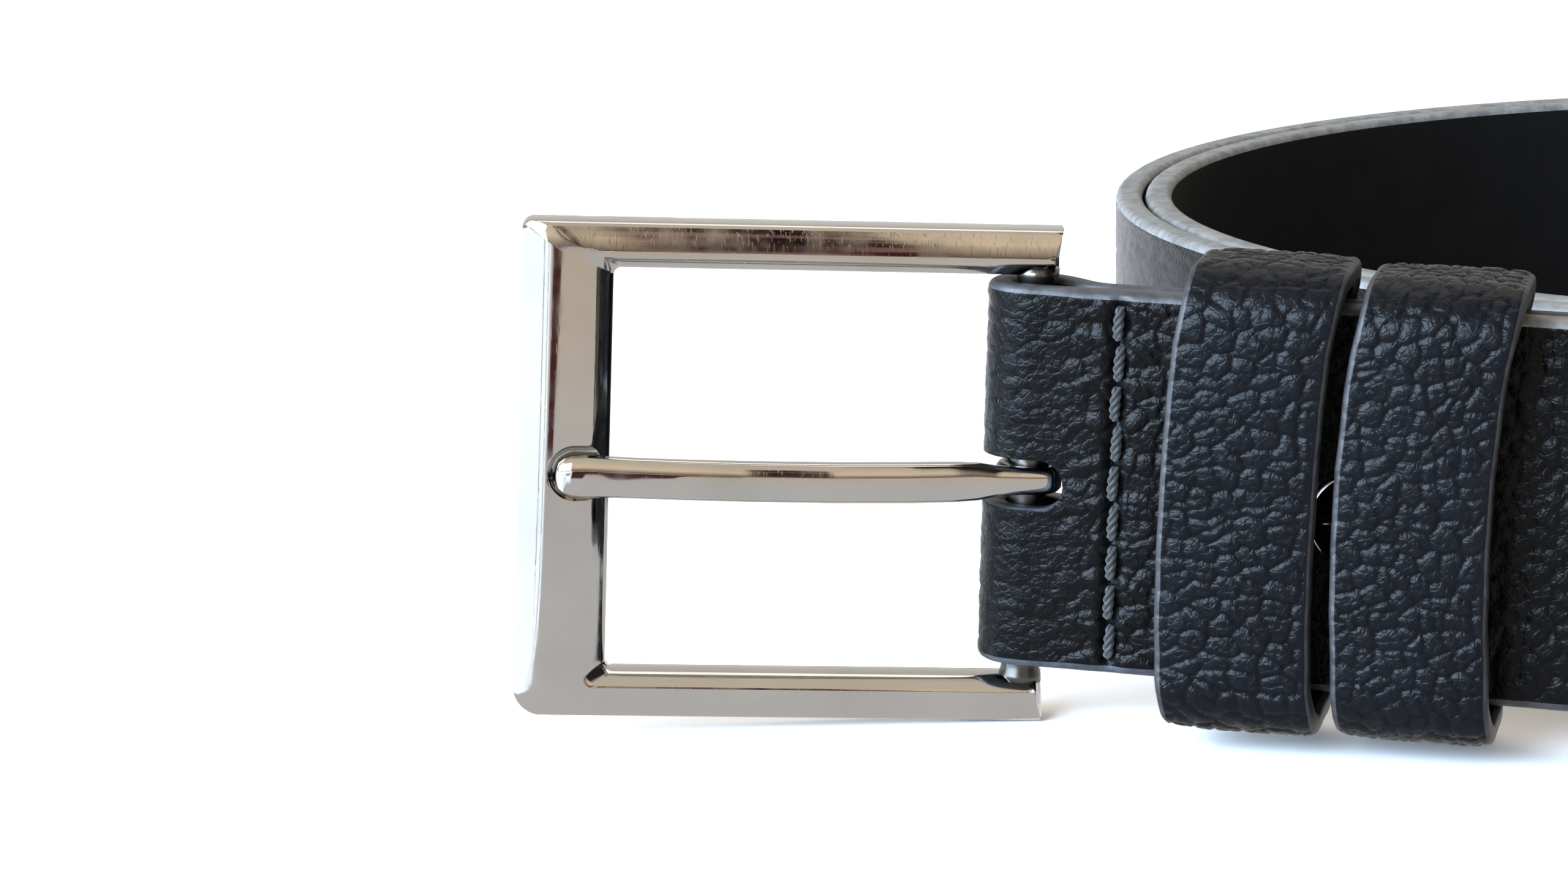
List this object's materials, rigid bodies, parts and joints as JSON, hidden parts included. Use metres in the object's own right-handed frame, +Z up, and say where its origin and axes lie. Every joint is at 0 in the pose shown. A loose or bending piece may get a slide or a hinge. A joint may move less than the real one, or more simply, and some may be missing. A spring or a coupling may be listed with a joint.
{
  "type": "leather belt",
  "caption": "Dress belt rolled on its edge: leather strap with a stitched fold, keeper loops, a screw fastener and a rectangular heel-bar buckle with a swinging tongue.",
  "frame": {"origin": "middle of the whole part's footprint, on the surface the rolled belt stands on", "axes": "+X along the front stretch of the strap, away from the buckle; +Y from the front stretch towards the roll; +Z up, across the strap's width"},
  "size_m": [0.2274, 0.2154, 0.0478],
  "materials": {
    "strap_leather": "pebbled full grain, semi-gloss",
    "loop_leather": "pebbled full grain, semi-gloss",
    "thread": "twisted waxed thread",
    "chrome": "polished nickel plate with fine scratches",
    "steel": "plain"
  },
  "bodies": {
    "strap": {"strap_front": "strap_leather", "strap_outer_turn": "strap_leather", "strap_inner_turn": "strap_leather", "stitching_front": "thread", "stitching_back": "thread", "screw": "chrome", "screw_post": "steel"},
    "frame": {"buckle_frame": "chrome"},
    "tongue": {"tongue": "chrome"},
    "loop_1": {"keeper_loop_1": "loop_leather", "keeper_staple_1": "steel"},
    "loop_2": {"keeper_loop_2": "loop_leather", "keeper_staple_2": "steel"}
  },
  "joints": [
    {"name": "frame_swivel", "type": "hinge", "parent": "strap", "child": "frame", "pos_m": [-0.06842, -0.0901, 0.02292], "axis": [0.0492, 0, 0.9988], "range_deg": [-95, 13]},
    {"name": "tongue_swing", "type": "hinge", "parent": "frame", "child": "tongue", "pos_m": [-0.06842, -0.0901, 0.02292], "axis": [0.0492, 0, 0.9988], "range_deg": [0, 53]},
    {"name": "loop_1_slide", "type": "slide", "parent": "strap", "child": "loop_1", "axis": [0.9993, 0, -0.0363], "range_m": [-0.0035, 0]},
    {"name": "loop_2_slide", "type": "slide", "parent": "strap", "child": "loop_2", "axis": [0.9993, 0, -0.0363], "range_m": [0, 0.025]}
  ]
}
